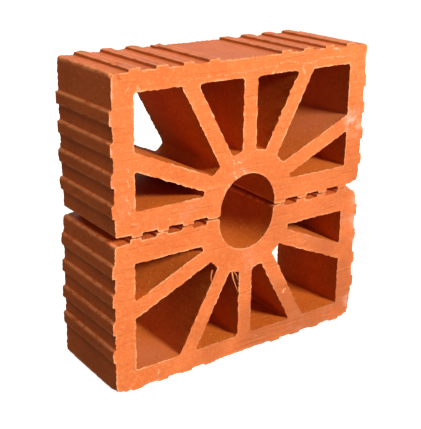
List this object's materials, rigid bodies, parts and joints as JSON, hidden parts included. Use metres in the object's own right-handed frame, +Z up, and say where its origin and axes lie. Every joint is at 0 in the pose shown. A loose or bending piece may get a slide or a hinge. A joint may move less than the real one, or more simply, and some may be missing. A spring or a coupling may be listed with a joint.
{
  "type": "clay screen block",
  "caption": "Square ventilation screen block of two ribbed terracotta bricks laid face to face, with webs fanning out from a round central hole.",
  "frame": {"origin": "middle of the base, on the plane that the lower ribs stand on", "axes": "+X along the width, -Y out of the front face along the holes, +Z up"},
  "size_m": [0.251, 0.083, 0.253],
  "materials": {
    "fired_clay": "matte unglazed terracotta with fine drag marks"
  },
  "bodies": {
    "root": {"upper_brick": "fired_clay", "lower_brick": "fired_clay"}
  },
  "joints": []
}
